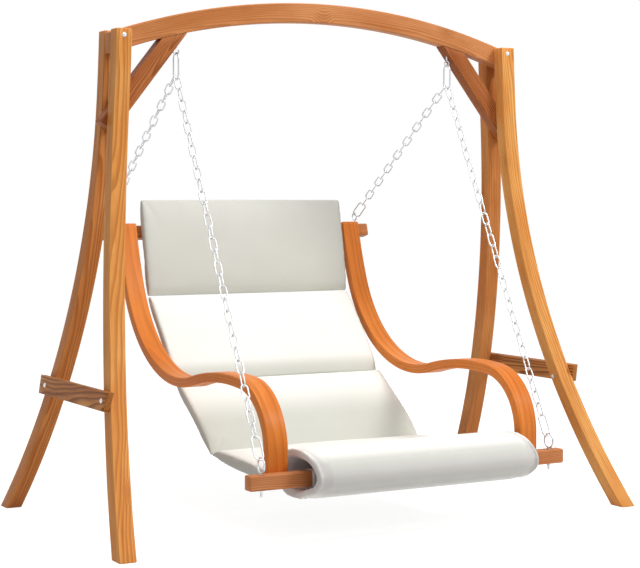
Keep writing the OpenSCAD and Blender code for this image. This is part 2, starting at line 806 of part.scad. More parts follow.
module front_roll() {
  n = len(roll_st);
  m = roll_n;
  outer = [for (st = roll_st) each roll_ring(0, st)];
  inner = [for (st = roll_st) each roll_ring(roll_wall, st)];
  in0 = n * m;
  far = (n - 1) * m;
  faces = concat(
    rings_faces(m, n),
    [for (f = rings_faces(m, n)) [f[2] + in0, f[1] + in0, f[0] + in0]],
    [for (i = [0 : m - 1], t = [0, 1]) let (j = (i + 1) % m)
      t == 0 ? [i, j, in0 + j] : [i, in0 + j, in0 + i]],
    [for (i = [0 : m - 1], t = [0, 1]) let (j = (i + 1) % m)
      t == 0 ? [far + j, far + i, in0 + far + j] : [far + i, in0 + far + i, in0 + far + j]]);
  color("ivory") place() polyhedron(points = concat(outer, inner), faces = faces, convexity = 6);
}

// ---- hidden sleeves ----

sleeve_half = half_w - sleeve_in;
sleeve_o = soft + sleeve_t;

// A cloth sleeve round a bar whose middle is the local origin
module sleeve() {
  difference() {
    cube([2 * sleeve_half, bar_d + 2 * sleeve_o, bar_h + 2 * sleeve_o], center = true);
    cube([2 * sleeve_half + 2, bar_d + 2 * soft, bar_h + 2 * soft], center = true);
  }
}

// Width of the tape that is sewn to the pads
tape = 10;

// The front tape hangs down to the roll's floor, which rises towards its front edge
floor_line = [for (i = [roll_n / 2 : roll_n]) roll_point(360 * i / roll_n, roll_wall)];
function roll_floor(y) = lookup(y, floor_line);

front_tape = bar_z - sleeve_o - roll_floor(front_y - tape / 2) - soft;

module front_sleeve() {
  color("whitesmoke") place() front_frame(0) {
    sleeve();
    translate([-sleeve_half, -tape / 2, -bar_h / 2 - sleeve_o - front_tape])
      cube([2 * sleeve_half, tape, front_tape + sleeve_t / 2]);
  }
}

// The rear tape reaches forward to the headrest's back, which curves away from the bar
tape_at = (head_down - tape / 2) / (head_up + head_down);
rear_tape = head_gap + pad_back * (1 - swell(tape_at, 3)) - tape / 2 * tan(head_lean)
  - sleeve_o - soft;

module rear_sleeve() {
  color("whitesmoke") place() rear_frame(0) {
    sleeve();
    translate([-sleeve_half, -bar_d / 2 - sleeve_o - rear_tape, -tape / 2])
      cube([2 * sleeve_half, rear_tape + sleeve_t / 2, tape]);
  }
}

front_left_leg();
front_right_leg();
rear_left_leg();
rear_right_leg();
top_beam();
left_brace();
right_brace();
left_side_rail();
right_side_rail();
leg_bolts();
leg_bolt_washers();
leg_bolt_nuts();
brace_screws();
rail_bolts();
rail_nuts();
left_eye_screw();
right_eye_screw();
left_hanger_link();
right_hanger_link();
front_left_chain();
front_right_chain();
rear_left_chain();
rear_right_chain();
front_connecting_links();
rear_connecting_links();
front_seat_eyes();
rear_seat_eyes();
seat_eye_washers();
seat_eye_nuts();
front_bar();
rear_bar();
left_arm();
right_arm();
front_arm_screws();
rear_arm_screws();
headrest_pad();
upper_back_pad();
lower_back_pad();
seat_pad();
front_roll();
front_sleeve();
rear_sleeve();
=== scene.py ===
# A garden swing: a padded lounge seat hung on chains from an arched timber stand.
import json
import math

import bmesh
import bpy
import numpy as np
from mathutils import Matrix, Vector


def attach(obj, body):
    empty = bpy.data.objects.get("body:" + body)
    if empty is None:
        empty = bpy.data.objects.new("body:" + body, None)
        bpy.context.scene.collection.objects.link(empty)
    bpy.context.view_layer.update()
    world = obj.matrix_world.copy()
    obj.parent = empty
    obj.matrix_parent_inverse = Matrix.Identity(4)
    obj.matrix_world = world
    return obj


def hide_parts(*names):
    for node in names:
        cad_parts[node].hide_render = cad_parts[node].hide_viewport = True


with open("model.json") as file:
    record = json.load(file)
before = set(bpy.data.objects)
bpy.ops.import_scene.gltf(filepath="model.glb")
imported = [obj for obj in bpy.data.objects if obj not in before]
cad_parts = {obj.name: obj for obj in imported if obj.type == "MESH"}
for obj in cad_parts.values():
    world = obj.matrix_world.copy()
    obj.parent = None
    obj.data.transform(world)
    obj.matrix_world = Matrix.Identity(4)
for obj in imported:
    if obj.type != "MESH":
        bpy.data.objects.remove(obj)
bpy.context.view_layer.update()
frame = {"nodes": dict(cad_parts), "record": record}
nodes = frame["nodes"]
scene = bpy.context.scene

# ---- sizes, in metres, as in the CAD model ----

SWING_Y = 0.0572202  # the swing's middle line, front to back
CROWN_H, BEAM_HALF, BEAM_R, BEAM_D, BEAM_W = 1.923, 0.855, 2.603, 0.072, 0.056
BEAM_RI = BEAM_R - BEAM_D
BEAM_CZ = CROWN_H - BEAM_R
LEG_W, LEG_T, LEG_SPLAY, LEG_BOW, LEG_STRAIGHT = 0.060, 0.057, 0.213, 0.038, 0.246
FOOT_REACH = 0.603
BRACE_W, BRACE_ANGLE, BRACE_X, BRACE_L = 0.064, math.radians(51.5), 0.554, 0.4692
RAIL_Z, RAIL_H, RAIL_T, RAIL_HALF, RAIL_CUT = 0.493, 0.070, 0.022, 0.33323, 0.024
RAIL_LEAN, RAIL_GAP = math.radians(8.93733), 0.0003
LEG_STEPS, BEAM_STEPS, BRACE_STEPS, RAIL_STEPS, BAR_STEPS = 48, 64, 12, 16, 24
BAR_D, BAR_H, BAR_HALF, REAR_BAR_HALF, BAR_Z = 0.045, 0.052, 0.645, 0.622, 0.216
FRONT_Y, FRONT_Z = -0.6825, BAR_Z + BAR_H / 2
ARM_X, ARM_W, ARM_T = 0.478, 0.078, 0.036
ARM_RISE, ARM_TIP = 0.0586, 0.068  # straight ends: above the front bar, and at the top
ARM_BENDS = ((0.239, -84), (1.170, -20), (0.515, 81.5), (1.500, 7.4))  # radius, degrees
ARM_BEND_STEP = 1.5
TILT = math.radians(74.9)
REAR_Y, REAR_Z = 0.689563, 1.04715
FRONT_EYE_X, REAR_EYE_X = 0.593, 0.576
SOFT = 0.0003  # clear space round cloth

LEG_H = BEAM_CZ + math.sqrt(BEAM_R ** 2 - (BEAM_HALF - LEG_W / 2) ** 2)
LEG_OUT = BEAM_W / 2 + LEG_T
KNEE_Z = LEG_H - LEG_STRAIGHT
KICK = FOOT_REACH - LEG_OUT
SIDE_R = (KNEE_Z ** 2 + KICK ** 2) / (2 * KICK)
SIDE_CY = LEG_OUT + SIDE_R
CHORD = math.hypot(LEG_SPLAY, LEG_H)
FRONT_R = CHORD ** 2 / (8 * LEG_BOW) + LEG_BOW / 2
FRONT_CX = BEAM_HALF + LEG_SPLAY / 2 + (FRONT_R - LEG_BOW) * LEG_H / CHORD
FRONT_CZ = LEG_H / 2 + (FRONT_R - LEG_BOW) * LEG_SPLAY / CHORD


def leg_x(z, inner=0.0):
    """A leg's outer face, or its inner face where inner is the leg's width."""
    return FRONT_CX - math.sqrt((FRONT_R + inner) ** 2 - (FRONT_CZ - z) ** 2)


def leg_y(z, inner=0.0):
    """A leg's far face from the side, or its near face where inner is its thickness."""
    if z > KNEE_Z:
        return LEG_OUT - inner
    return SIDE_CY - math.sqrt((SIDE_R + inner) ** 2 - (KNEE_Z - z) ** 2)


# ---- node helpers ----

class Tree:
    """A material's node tree with short calls for nodes and links."""

    def __init__(self, name):
        self.mat = bpy.data.materials.new(name)
        self.mat.use_nodes = True
        self.nt = self.mat.node_tree
        self.bsdf = self.nt.nodes["Principled BSDF"]

    def put(self, socket, value):
        if isinstance(value, bpy.types.NodeSocket):
            self.nt.links.new(value, socket)
        elif value is not None:
            socket.default_value = value

    def node(self, kind, ins=None, out=0, **props):
        n = self.nt.nodes.new(kind)
        for k, v in props.items():
            setattr(n, k, v)
        for k, v in (ins or {}).items():
            self.put(n.inputs[k], v)
        return n.outputs[out]

    def math(self, op, a, b=None):
        return self.node("ShaderNodeMath", {0: a, 1: b}, operation=op)

    def vec(self, op, a, b=None):
        out = 1 if op == "LENGTH" else 0
        return self.node("ShaderNodeVectorMath", {0: a, 1: b}, out=out, operation=op)

    def noise(self, vector, scale=1.0, detail=3.0, rough=0.5):
        return self.node("ShaderNodeTexNoise",
                         {"Vector": vector, "Scale": scale, "Detail": detail, "Roughness": rough})

    def step(self, value, lo, hi):
        """0 below lo, 1 above hi, smooth between."""
        return self.node("ShaderNodeMapRange", {0: value, 1: lo, 2: hi, 3: 0.0, 4: 1.0},
                         interpolation_type="SMOOTHSTEP")

    def mix(self, factor, a, b):
        n = self.nt.nodes.new("ShaderNodeMix")
        n.data_type = "RGBA"
        for socket, value in zip((n.inputs[0], n.inputs[6], n.inputs[7]), (factor, a, b)):
            self.put(socket, value)
        return n.outputs[2]

    def attribute(self, name, out="Vector"):
        n = self.nt.nodes.new("ShaderNodeAttribute")
        n.attribute_name = name
        return n.outputs[out]

    def bump(self, height, strength, distance):
        self.put(self.bsdf.inputs["Normal"], self.node(
            "ShaderNodeBump", {"Strength": strength, "Distance": distance, "Height": height}))


def rgb(text):
    """Linear colour from a hex one."""
    c = [int(text[i:i + 2], 16) / 255 for i in (0, 2, 4)]
    lin = [v / 12.92 if v <= 0.04045 else ((v + 0.055) / 1.055) ** 2.4 for v in c]
    return (*lin, 1.0)


# ---- materials ----

def wood(name, pale, mid, dark, ring=0.0055, contrast=0.6, knot=0.45, rough=0.45,
         coat=0.0, layers=0.0):
    """Timber with growth rings, streaks, fibres and knots, from the 'grain' attribute:
    x and z across the timber from its pith, y along it, in metres."""
    t = Tree(name)
    grain = t.attribute("grain")
    wave = t.noise(t.vec("MULTIPLY", grain, (7, 1.5, 7)), detail=2.0)
    cells = t.vec("MULTIPLY", grain, (7.5, 2.6, 7.5))
    spot = t.nt.nodes.new("ShaderNodeTexVoronoi")
    spot.inputs["Scale"].default_value = 1.0
    t.put(spot.inputs["Vector"], cells)
    away = t.vec("LENGTH", t.vec("DIVIDE", t.vec("SUBTRACT", cells, spot.outputs["Position"]),
                                 (7.5, 3.4, 7.5)))
    chosen = t.math("LESS_THAN", t.node("ShaderNodeSeparateXYZ", {0: spot.outputs["Color"]}), knot)
    near = t.math("MULTIPLY", t.math("SUBTRACT", 1.0, t.step(away, 0.006, 0.045)), chosen)
    core = t.math("MULTIPLY", t.math("SUBTRACT", 1.0, t.step(away, 0.006, 0.011)), chosen)
    radius = t.vec("LENGTH", t.vec("MULTIPLY", grain, (1, 0, 1)))
    radius = t.math("ADD", radius, t.math("MULTIPLY", wave, 0.030))
    radius = t.math("ADD", radius, t.math("MULTIPLY", near, 0.014))
    phase = t.math("FRACT", t.math("DIVIDE", radius, ring))
    late = t.math("MULTIPLY", t.step(phase, 0.25, 0.9),
                  t.math("SUBTRACT", 1.0, t.step(phase, 0.93, 1.0)))
    streak = t.noise(t.vec("MULTIPLY", grain, (95, 3.2, 95)), detail=4.0, rough=0.6)
    fibre = t.noise(t.vec("MULTIPLY", grain, (900, 26, 900)), detail=2.0)
    cloud = t.noise(t.vec("MULTIPLY", grain, (9, 2.4, 9)), detail=3.0)
    base = t.mix(t.step(cloud, 0.32, 0.68), pale, mid)
    base = t.mix(t.math("MULTIPLY", late, contrast), base, dark)
    base = t.mix(t.math("MULTIPLY", t.step(streak, 0.48, 0.8), contrast), base, dark)
    base = t.mix(t.math("MULTIPLY", t.step(fibre, 0.45, 0.8), 0.22), base, dark)
    if layers:
        across = t.node("ShaderNodeSeparateXYZ", {0: t.attribute("section")}, out=1)
        level = t.math("DIVIDE", across, layers)
        tone = t.node("ShaderNodeTexWhiteNoise", {"W": t.math("FLOOR", level)},
                      noise_dimensions="1D")
        glue = t.math("LESS_THAN", t.math("FRACT", level), 0.09)
        base = t.mix(t.math("MULTIPLY", tone, 0.28), base, mid)
        base = t.mix(t.math("MULTIPLY", glue, 0.35), base, dark)
    knot_tone = t.mix(t.math("FRACT", t.math("MULTIPLY", away, 330.0)), dark, rgb("4A2812"))
    base = t.mix(t.math("MULTIPLY", near, 0.35), base, dark)
    base = t.mix(t.math("MULTIPLY", core, 0.75), base, knot_tone)
    worn = t.math("MULTIPLY", t.attribute("edge", "Fac"), t.step(cloud, 0.35, 0.75))
    base = t.mix(t.math("MULTIPLY", worn, 0.35), base, pale)
    t.put(t.bsdf.inputs["Base Color"], base)
    t.put(t.bsdf.inputs["Roughness"],
          t.math("ADD", t.math("MULTIPLY", streak, 0.2), rough - 0.1))
    t.bsdf.inputs["Specular IOR Level"].default_value = 0.10
    t.bsdf.inputs["Coat Weight"].default_value = coat
    t.bsdf.inputs["Coat Roughness"].default_value = 0.28
    height = t.math("ADD", t.math("MULTIPLY", late, 0.5), t.math("MULTIPLY", fibre, 0.8))
    t.bump(t.math("ADD", height, t.math("MULTIPLY", streak, 0.8)), 0.35, 0.0006)
    return t.mat


def steel(name, colour, rough):
    """Zinc-plated steel with a faint spangle and dulled patches."""
    t = Tree(name)
    where = t.node("ShaderNodeTexCoord", out=3)
    spangle = t.node("ShaderNodeTexVoronoi", {"Vector": where, "Scale": 420.0}, out=0)
    patch = t.noise(where, 60.0, 4.0)
    base = t.mix(t.math("MULTIPLY", spangle, 0.10), colour, rgb("9A9FA4"))
    base = t.mix(t.math("MULTIPLY", t.step(patch, 0.5, 0.8), 0.35), base, rgb("8A8F94"))
    t.put(t.bsdf.inputs["Base Color"], base)
    t.bsdf.inputs["Metallic"].default_value = 1.0
    t.put(t.bsdf.inputs["Roughness"], t.math("ADD", t.math("MULTIPLY", patch, 0.2), rough))
    t.bump(patch, 0.12, 0.0003)
    return t.mat


def cloth(name, colour, shade, weave=0.0012, tone=0.10, other=None):
    """Plain woven cover from the 'weave' attribute, the place on the cloth in metres.
    other is the colour where the 'inner' attribute is 1. A second attribute paints shade:
    where it is 1 the colour is greyed to stand for the shade along the creases and on the roll's
    front."""
    t = Tree(name)
    place = t.attribute("weave")
    k = 2 * math.pi / weave
    waves = [t.math("SINE", t.math("MULTIPLY", t.node(
        "ShaderNodeSeparateXYZ", {0: place}, out=i), k)) for i in range(3)]
    yarn = t.math("ADD", t.math("MULTIPLY", waves[0], waves[1]),
                  t.math("MULTIPLY", waves[2], waves[1]))
    slub = t.noise(t.vec("MULTIPLY", place, (60, 900, 60)), detail=2.0)
    soft = t.noise(place, 9.0, 4.0)
    if other:
        # Painted shade: grey mixed in where the painted-shade attribute is 1, along the creases
        # and on the roll's front.
        colour = t.mix(t.attribute("painted_shade", "Fac"), colour, rgb("D3D5CC"))
        colour = t.mix(t.attribute("inner", "Fac"), colour, other)
    base = t.mix(t.math("MULTIPLY", t.step(soft, 0.4, 0.75), tone), colour, shade)
    base = t.mix(t.math("MULTIPLY", t.step(slub, 0.45, 0.8), tone), base, shade)
    base = t.mix(t.math("MULTIPLY", t.step(yarn, -0.2, -1.6), tone), base, shade)
    t.put(t.bsdf.inputs["Base Color"], base)
    t.put(t.bsdf.inputs["Roughness"], t.math("ADD", t.math("MULTIPLY", soft, 0.1), 0.82))
    t.bsdf.inputs["Sheen Weight"].default_value = 0.12
    t.bsdf.inputs["Specular IOR Level"].default_value = 0.25
    height = t.math("ADD", t.math("MULTIPLY", yarn, 0.5), slub)
    t.bump(height, 0.22, 0.00025)
    return t.mat


LEG_WOOD = wood("leg_timber", rgb("F6B668"), rgb("E29448"), rgb("AC6028"))
REAR_WOOD = wood("rear_leg_timber", rgb("EAA05C"), rgb("CE8042"), rgb("985424"), knot=0.6)
BEAM_WOOD = wood("beam_timber", rgb("DC9660"), rgb("C67C46"), rgb("985628"), contrast=0.5,
                 knot=0.6)
BRACE_WOOD = wood("brace_timber", rgb("C27A46"), rgb("A65C30"), rgb("723A18"), knot=0.9)
RAIL_WOOD = wood("rail_timber", rgb("E09A56"), rgb("B87038"), rgb("78401A"), contrast=0.8)
BAR_WOOD = wood("bar_timber", rgb("DC9260"), rgb("C67C4C"), rgb("9C5C34"), knot=0.15)
ARM_WOOD = wood("arm_laminate", rgb("EC8E40"), rgb("DE7C30"), rgb("B25A1E"), ring=0.011,
                contrast=0.35, knot=0.22, rough=0.46, coat=0.08, layers=0.004)
ZINC = steel("zinc_steel", rgb("D4D7DA"), 0.22)
WHITE = cloth("white_cloth", rgb("FBFBF5"), rgb("E6E6DC"), other=rgb("CCCEC6"))
# The headrest's cloth is the white cloth with shade painted in: greyer, for a pad that stands
# steeper and faces less light.
SHADED_WHITE = cloth("grey_cloth", rgb("D6D7CF"), rgb("C6C6BC"), other=rgb("C2C3BB"))
# The roll's 'other' colour is that of its end rings and inner skin, and also the painted shade on
# its front.
ROLL = cloth("roll_cloth", rgb("FBFBF5"), rgb("E6E6DC"), other=rgb("CDC6C6"))
WEBBING = cloth("sleeve_cloth", rgb("D8D6CE"), rgb("B4B2AA"), weave=0.0024, tone=0.3)


# ---- mesh helpers ----

RING = 24  # points round an eased four-cornered section


def set_point_data(mesh, name, values):
    values = np.asarray(values, np.float32)
    kind = "FLOAT_VECTOR" if values.ndim == 2 else "FLOAT"
    data = mesh.attributes.new(name, kind, "POINT").data
    data.foreach_set("vector" if values.ndim == 2 else "value", values.ravel())


def new_piece(name, points, faces, body, material, slot, replaced=(), **attributes):
    """A smooth-shaded mesh object that rides on a body and stands for CAD nodes."""
    mesh = bpy.data.meshes.new(name)
    mesh.from_pydata([tuple(p) for p in points], [], [tuple(f) for f in faces])
    for key, values in attributes.items():
        set_point_data(mesh, key, values)
    bm = bmesh.new()
    bm.from_mesh(mesh)
    bmesh.ops.recalc_face_normals(bm, faces=bm.faces)
    bm.to_mesh(mesh)
    bm.free()
    mesh.polygons.foreach_set("use_smooth", [True] * len(mesh.polygons))
    mesh.materials.append(material)
    obj = bpy.data.objects.new(name, mesh)
    scene.collection.objects.link(obj)
    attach(obj, body)
    if replaced:
        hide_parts(*replaced)
    return obj


def skin(m, n, first=0, wrap=False):
    """Faces between n rings of m points. With wrap, the last ring joins the first."""
    return [(first + j * m + i, first + j * m + (i + 1) % m,
             first + (j + 1) % n * m + (i + 1) % m, first + (j + 1) % n * m + i)
            for j in range(n if wrap else n - 1) for i in range(m)]


def caps(m, n, first=0):
    """The two end faces of n rings of m points."""
    last = first + (n - 1) * m
    return [tuple(range(first + m - 1, first - 1, -1)), tuple(range(last, last + m))]


def unit(v):
    return v / np.linalg.norm(v)


def eased_ring(corners, ease, support=0.004):
    """RING points round a four-cornered section with eased corners, and 1 where eased."""
    ring, edge = [], []
    for i in range(4):
        p = corners[i]
        u = unit(corners[(i + 1) % 4] - p)
        v = unit(corners[i - 1] - p)
        c = p + (u + v) * ease
        ring.append(p + v * (ease + support))
        for a in (0, 30, 60, 90):
            a = math.radians(a)
            ring.append(c - u * ease * math.cos(a) - v * ease * math.sin(a))
        ring.append(p + u * (ease + support))
        edge += [0, 1, 1, 1, 1, 0]
    return np.array(ring), np.array(edge, float)


def drawn_in(corners, d):
    """The corners of a section moved inwards by d along both sides."""
    out = []
    for i in range(4):
        p = corners[i]
        out.append(p + (unit(corners[(i + 1) % 4] - p) + unit(corners[i - 1] - p)) * d)
    return np.array(out)


def timber(name, node, body, material, slot, sections, ease=0.0035, pith=(0.03, 0.05),
           lean=(0.0, 0.0), start=0.0):
    """A timber through four-cornered sections, its long edges and ends eased.
    pith is where the growth rings' axis lies from the section's middle."""
    secs = [np.array(s, float) for s in sections]

    def from_end(a, b, off, draw):
        moved = np.array([p + unit(q - p) * off for p, q in zip(a, b)])
        return drawn_in(moved, draw) if draw else moved

    steps = [(0.0, ease), (0.3 * ease, 0.3 * ease), (ease, 0.0)]
    head = [from_end(secs[0], secs[1], o, d) for o, d in steps]
    tail = [from_end(secs[-1], secs[-2], o, d) for o, d in reversed(steps)]
    loops = head + secs[1:-1] + tail
    points, edges, grain, flat = [], [], [], []
    along = start
    previous = loops[0].mean(0)
    for loop in loops:
        middle = loop.mean(0)
        along += float(np.linalg.norm(middle - previous))
        previous = middle
        ring, edge = eased_ring(loop, ease)
        e1, e2 = unit(loop[1] - loop[0]), unit(loop[3] - loop[0])
        a, b = (ring - middle) @ e1, (ring - middle) @ e2
        points += list(ring)
        edges += list(edge)
        grain += [(x + pith[0] + lean[0] * along, along, y + pith[1] + lean[1] * along)
                  for x, y in zip(a, b)]
        flat += [(x, y, along) for x, y in zip(a, b)]
    faces = skin(RING, len(loops)) + caps(RING, len(loops))
    new_piece(name, points, faces, body, material, slot, [node],
              grain=np.array(grain), edge=np.array(edges), section=np.array(flat))


def tube(name, path, radius, body, material, slot, sides):
    """A round tube along a path of points."""
    path = np.array(path, float)
    n = len(path)
    back = np.vstack([path[:1], path[:-1]])
    ahead = np.vstack([path[1:], path[-1:]])
    points, marks, run = [], [], 0.0
    side = None
    for i in range(n):
        t = unit(ahead[i] - back[i])
        if side is None:
            side = unit(np.cross(t, (0.3, 0.2, 1.0)))
        side = unit(side - t * (side @ t))
        other = np.cross(t, side)
        run += float(np.linalg.norm(path[i] - path[i - 1])) if i else 0.0
        for k in range(sides):
            a = 2 * math.pi * k / sides
            points.append(path[i] + (side * math.cos(a) + other * math.sin(a)) * radius)
            marks.append((radius * a, run, 0.0))
    new_piece(name, points, skin(sides, n) + caps(sides, n), body, material, slot,
              weave=np.array(marks))


def placed(x, y, z):
    """A point given from the swing's middle line, in the frame."""
    return (x, y + SWING_Y, z)


# ---- stand ----

def leg(sx, sy, name, material, pith, lean):
    """A leg on side sx (left -1) and sy (front -1), from the floor up."""
    sections = []
    for i in range(LEG_STEPS + 1):
        z = LEG_H * i / LEG_STEPS
        x0, x1 = sx * leg_x(z, LEG_W), sx * leg_x(z)
        y0, y1 = sy * leg_y(z, LEG_T), sy * leg_y(z)
        sections.append([placed(x, y, z) for x, y in ((x0, y1), (x1, y1), (x1, y0), (x0, y0))])
    timber(name + "_wood", name, "stand", material, "leg_timber", sections, pith=pith,
           lean=lean, start=3.0 * sx + 7.0 * sy)


leg(-1, -1, "front_left_leg", LEG_WOOD, (0.045, 0.02), (0.010, 0.014))
leg(1, -1, "front_right_leg", LEG_WOOD, (-0.02, 0.05), (0.012, -0.020))
leg(-1, 1, "rear_left_leg", REAR_WOOD, (0.03, -0.045), (-0.012, 0.016))
leg(1, 1, "rear_right_leg", REAR_WOOD, (-0.03, -0.035), (0.016, 0.012))

half_beam = BEAM_W / 2
beam_sections = []
for i in range(BEAM_STEPS + 1):
    x = BEAM_HALF * (2 * i / BEAM_STEPS - 1)
    low, top = (BEAM_CZ + math.sqrt(r * r - x * x) for r in (BEAM_RI, BEAM_R))
    beam_sections.append([placed(x, y, z) for y, z in (
        (-half_beam, low), (half_beam, low), (half_beam, top), (-half_beam, top))])
timber("top_beam_wood", "top_beam", "stand", BEAM_WOOD, "leg_timber", beam_sections,
       pith=(0.05, 0.03), lean=(0.012, 0.004))


def brace_sections(sx):
    """Sections of a knee brace from the beam's hollow side down to the legs."""
    d = (math.cos(BRACE_ANGLE), -math.sin(BRACE_ANGLE))
    w = (math.sin(BRACE_ANGLE), math.cos(BRACE_ANGLE))
    z0 = BEAM_CZ + math.sqrt(BEAM_RI ** 2 - BRACE_X ** 2)
    at = lambda t, u: (BRACE_X + d[0] * t + w[0] * u, z0 + d[1] * t + w[1] * u)

    def start(u):
        """How far along the brace its edge u leaves the beam."""
        t = -0.08
        while math.hypot(at(t, u)[0], at(t, u)[1] - BEAM_CZ) > BEAM_RI:
            t += 0.0001
        return t

    ts, out = (start(0.0), start(BRACE_W)), []
    for i in range(BRACE_STEPS + 1):
        low, high = (at(t0 + (BRACE_L - t0) * i / BRACE_STEPS, u)
                     for t0, u in zip(ts, (0.0, BRACE_W)))
        out.append([placed(sx * p[0], y, p[1]) for p, y in (
            (low, -half_beam), (low, half_beam), (high, half_beam), (high, -half_beam))])
    return out


def rail_sections(sx):
    """Sections of a side rail on the legs' outer faces, its ends cut at a slant."""
    out = []
    x0 = leg_x(RAIL_Z)
    c, s = math.cos(RAIL_LEAN), math.sin(RAIL_LEAN)
    at = lambda u, v, y: placed(sx * (x0 + u * c - v * s), y, RAIL_Z + u * s + v * c)
    u0, u1, v = RAIL_GAP, RAIL_GAP + RAIL_T, RAIL_H / 2
    for i in range(RAIL_STEPS + 1):
        top = -RAIL_HALF + 2 * RAIL_HALF * i / RAIL_STEPS
        low = -RAIL_HALF + RAIL_CUT + (2 * RAIL_HALF - RAIL_CUT) * i / RAIL_STEPS
        out.append([at(u0, -v, low), at(u1, -v, low), at(u1, v, top), at(u0, v, top)])
    return out


for sx, side in ((-1, "left"), (1, "right")):
    timber(side + "_brace_wood", side + "_brace", "stand", BRACE_WOOD, "brace_timber",
           brace_sections(sx), pith=(0.03, 0.01 * sx), lean=(0.03, 0.02), start=2.0 + 0.31 * sx)
    timber(side + "_rail_wood", side + "_side_rail", "stand", RAIL_WOOD, "leg_timber",
           rail_sections(sx), ease=0.002, pith=(0.05, 0.004), lean=(0.02, 0.008),
           start=5.0 + 0.7 * sx)


# ---- seat frame ----

def heading_step(p, r, a):
    """From (y, z, heading) p along an arc of radius r that turns by a."""
    s = math.copysign(1, a)
    return (p[0] + r * s * (math.sin(p[2] + a) - math.sin(p[2])),
            p[1] - r * s * (math.cos(p[2] + a) - math.cos(p[2])), p[2] + a)


arm_path = [(FRONT_Y + BAR_D / 2, BAR_Z, math.pi / 2)]
arm_path += [(arm_path[0][0], BAR_Z + (BAR_H + ARM_RISE) * i / 6, math.pi / 2)
             for i in range(1, 7)]
for r, turn in ARM_BENDS:
    base_point = arm_path[-1]
    steps = max(4, round(abs(turn) / ARM_BEND_STEP))
    for i in range(1, steps + 1):
        arm_path.append(heading_step(base_point, r, math.radians(turn) * i / steps))
tip = arm_path[-1]
arm_path += [(tip[0] + ARM_TIP * k * math.cos(tip[2]), tip[1] + ARM_TIP * k * math.sin(tip[2]),
              tip[2]) for k in (0.25, 0.5, 0.75, 1.0)]

for sx, side in ((-1, "left"), (1, "right")):
    sections = []
    for y, z, a in arm_path:
        y1, z1 = y + ARM_T * math.sin(a), z - ARM_T * math.cos(a)
        x0, x1 = sx * ARM_X, sx * (ARM_X + ARM_W)
        sections.append([placed(x0, y1, z1), placed(x1, y1, z1),
                         placed(x1, y, z), placed(x0, y, z)])
    timber(side + "_arm_wood", side + "_arm", "seat", ARM_WOOD, "arm_laminate", sections,
           ease=0.004, pith=(0.035 * sx, 0.06), lean=(0.006, 0.010), start=1.3 * sx + 2)


def bar_sections(y, z, tilt, half):
    """Sections of a bar along X, whose height leans back by tilt from the floor."""
    up = (math.cos(tilt), math.sin(tilt))
    across = (-math.sin(tilt), math.cos(tilt))
    at = lambda x, u, v: placed(x, y + up[0] * v + across[0] * u, z + up[1] * v + across[1] * u)
    u, v = BAR_D / 2, BAR_H / 2
    return [[at(x, u, -v), at(x, -u, -v), at(x, -u, v), at(x, u, v)]
            for x in np.linspace(-half, half, BAR_STEPS + 1)]


timber("front_bar_wood", "front_bar", "seat", BAR_WOOD, "bar_timber",
       bar_sections(FRONT_Y, FRONT_Z, math.pi / 2, BAR_HALF), ease=0.005,
       pith=(0.04, 0.03), lean=(0.01, 0.01))
timber("rear_bar_wood", "rear_bar", "seat", BAR_WOOD, "bar_timber",
       bar_sections(REAR_Y, REAR_Z, TILT, REAR_BAR_HALF), ease=0.005,
       pith=(-0.03, 0.04), lean=(0.01, -0.01), start=4.0)

for part in frame["record"]["subparts"]:
    if part["material_slot"] == "zinc_steel":
        materials = nodes[part["node"]].data.materials
        materials.clear()
        materials.append(ZINC)


# ---- pads ----

HALF_W = 0.455
PAD_BACK, PAD_SIDE, PAD_CROWN, PAD_DRAW, SEAM = 0.042, 0.008, 0.017, 0.005, 0.0006
PAD_SPREAD = 0.006  # how far a pad's sides stand out past its solid
PAD_VOXEL, ROLL_VOXEL = 0.008, 0.007
PAD_INSET, ROLL_INSET = 0.004, 0.003  # how much smaller they are before they swell
PAD_CAP, ROLL_CAP = 0.006, 0.0035  # how far a point may move as they swell
SEAM_HOLD = 0.007  # cloth this near a seam is pinned
HEAD_DIR = TILT + math.radians(4.8)
HEAD_OFF, HEAD_UP, HEAD_DOWN = 0.014, 0.122, 0.269  # from the rear bar's face and middle
SEAT_L, SEAT_DIR, BACK_BOW = 0.478, math.radians(2.9), 0.052
ROLL_D, ROLL_H, ROLL_WALL, ROLL_SAG = 0.336, 0.174, 0.037, 0.030
ROLL_Y, ROLL_Z = FRONT_Y + 0.018, FRONT_Z + 0.013
ROLL_EASE = 0.012  # radius of the roll's end edges

# seam points (y, z): S0 the headrest's top, S1 to S3 the creases, S4 at the roll
bar_face = np.array([REAR_Y - BAR_D / 2 * math.sin(TILT), REAR_Z + BAR_D / 2 * math.cos(TILT)])
head_back = bar_face + HEAD_OFF * np.array([-math.sin(TILT), math.cos(TILT)])
head_mid = head_back + PAD_BACK * np.array([-math.sin(HEAD_DIR), math.cos(HEAD_DIR)])
head_run = np.array([math.cos(HEAD_DIR), math.sin(HEAD_DIR)])
S0, S1 = head_mid + HEAD_UP * head_run, head_mid - HEAD_DOWN * head_run
S4 = np.array([ROLL_Y + ROLL_D / 2 + SOFT, ROLL_Z - ROLL_H * 0.15])
S3 = S4 + SEAT_L * np.array([math.cos(SEAT_DIR), math.sin(SEAT_DIR)])
lift = S1 - S3
S2 = (S1 + S3) / 2 + BACK_BOW / np.linalg.norm(lift) * np.array([lift[1], -lift[0]])


def swell(s, p):
    """A rounded outline over 0 to 1: 0 at both ends and 1 in the middle."""
    return max(0.0, 1 - abs(2 * s - 1) ** p) ** (1 / p)


def pad_frame(a, b):
    """Length of a pad between its seams, its direction, and the way that it faces."""
    l = float(np.linalg.norm(b - a))
    d = (b - a) / l
    return l, d, np.array([-d[1], d[0]])


